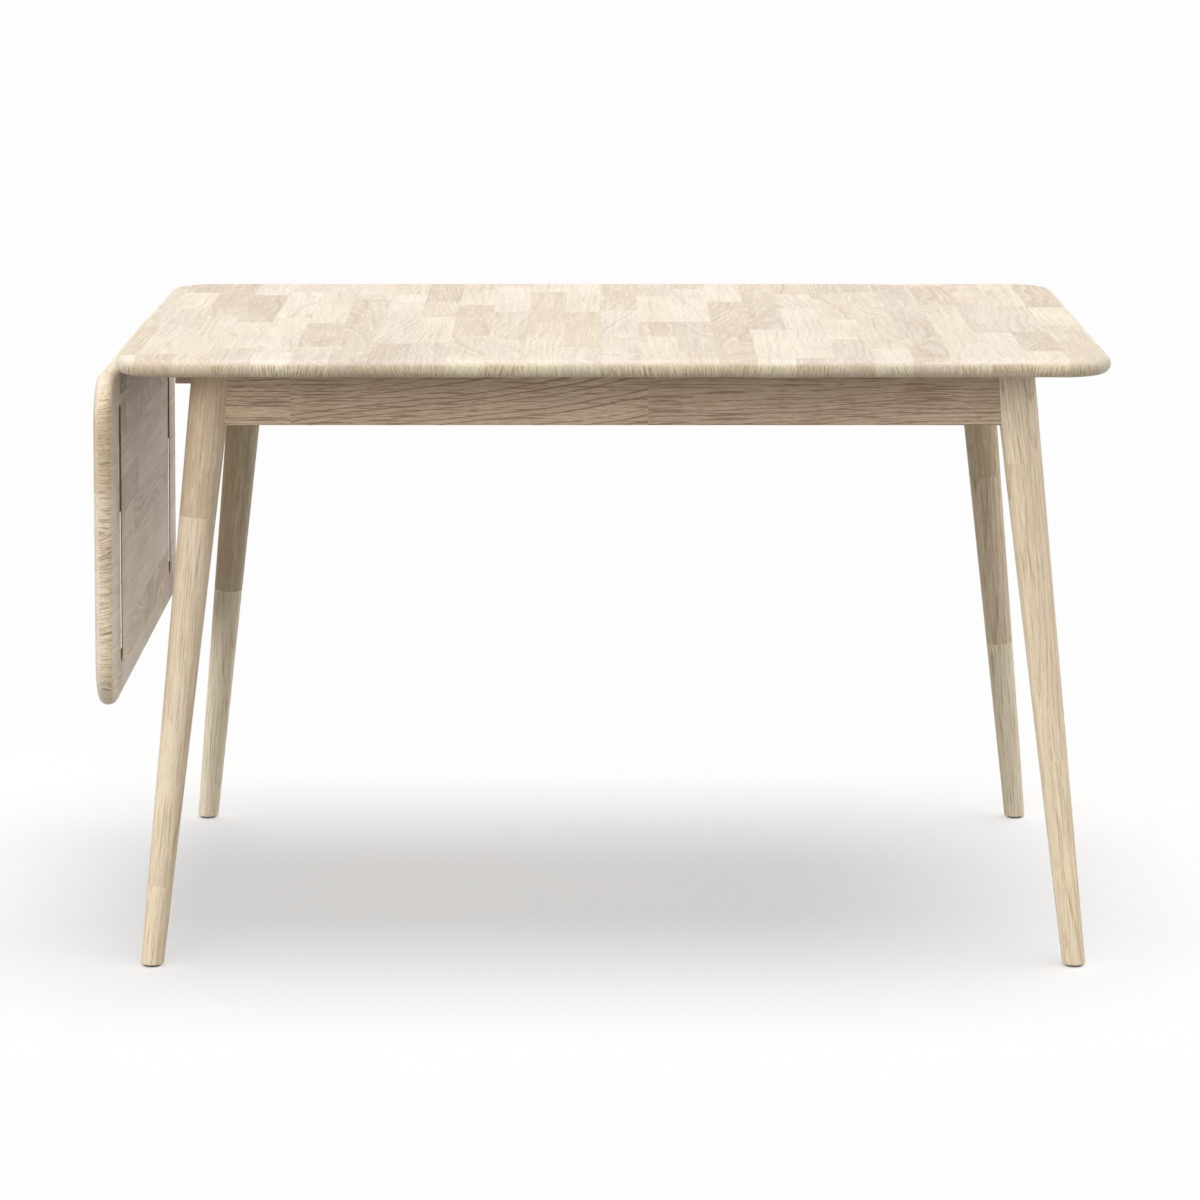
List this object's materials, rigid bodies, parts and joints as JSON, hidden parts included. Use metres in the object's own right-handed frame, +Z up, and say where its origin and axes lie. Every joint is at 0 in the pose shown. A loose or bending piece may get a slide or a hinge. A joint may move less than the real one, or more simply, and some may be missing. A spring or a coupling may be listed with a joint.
{
  "type": "drop-leaf dining table",
  "caption": "Pale oak dining table with splayed, tapered round legs and a drop leaf at one end that swings up on hinges over pull-out bearers.",
  "frame": {"origin": "on the floor, under the middle of the whole table with its leaf hanging", "axes": "+Z up, +X along the table away from the drop leaf, -Y towards the front"},
  "size_m": [1.2274, 0.8, 0.75],
  "materials": {
    "oak_top": "white-pigmented oil, satin",
    "oak_leaf": "white-pigmented oil, satin",
    "oak_apron": "white-pigmented oil, satin",
    "oak_leg": "white-pigmented oil, satin",
    "oak_bearer": "bare, waxed",
    "glide_plastic": "matte",
    "bracket_steel": "zinc plated",
    "fastener_steel": "zinc plated",
    "hinge_steel": "zinc plated",
    "stiffener_steel": "bright drawn"
  },
  "bodies": {
    "table_frame": {"back_apron": "oak_apron", "back_bearer_guide": "bracket_steel", "back_hinge_pin": "hinge_steel", "back_hinge_top_plate": "hinge_steel", "back_left_corner_bracket": "bracket_steel", "back_left_foot_glide": "glide_plastic", "back_left_leg": "oak_leg", "back_right_corner_bracket": "bracket_steel", "back_right_foot_glide": "glide_plastic", "back_right_leg": "oak_leg", "bearer_guide_screws": "fastener_steel", "corner_bracket_screws": "fastener_steel", "far_end_apron": "oak_apron", "fixed_top": "oak_top", "front_apron": "oak_apron", "front_bearer_guide": "bracket_steel", "front_hinge_pin": "hinge_steel", "front_hinge_top_plate": "hinge_steel", "front_left_corner_bracket": "bracket_steel", "front_left_foot_glide": "glide_plastic", "front_left_leg": "oak_leg", "front_right_corner_bracket": "bracket_steel", "front_right_foot_glide": "glide_plastic", "front_right_leg": "oak_leg", "hinge_end_apron": "oak_apron", "hinge_top_screws": "fastener_steel", "leg_bolt_nuts": "fastener_steel", "leg_bolt_washers": "fastener_steel", "leg_hanger_bolts": "fastener_steel", "middle_hinge_pin": "hinge_steel", "middle_hinge_top_plate": "hinge_steel", "top_angle_brackets": "bracket_steel", "top_angle_screws": "fastener_steel"},
    "leaf": {"drop_leaf": "oak_leaf", "hinge_leaf_screws": "fastener_steel", "leaf_stiffener_screws": "fastener_steel", "front_leaf_stiffener": "stiffener_steel", "back_leaf_stiffener": "stiffener_steel", "front_hinge_leaf_plate": "hinge_steel", "middle_hinge_leaf_plate": "hinge_steel", "back_hinge_leaf_plate": "hinge_steel"},
    "front_bearer_slide": {"front_bearer": "oak_bearer", "front_bearer_stop": "oak_bearer"},
    "back_bearer_slide": {"back_bearer": "oak_bearer", "back_bearer_stop": "oak_bearer"}
  },
  "joints": [
    {"name": "leaf_hinge", "type": "hinge", "parent": "table_frame", "child": "leaf", "pos_m": [-0.58681, 0, 0.728], "axis": [0, 1, 0], "range_deg": [0, 89.3]},
    {"name": "front_bearer_pull", "type": "slide", "parent": "table_frame", "child": "front_bearer_slide", "axis": [-1, 0, 0], "range_m": [0, 0.058]},
    {"name": "back_bearer_pull", "type": "slide", "parent": "table_frame", "child": "back_bearer_slide", "axis": [-1, 0, 0], "range_m": [0, 0.058]}
  ]
}
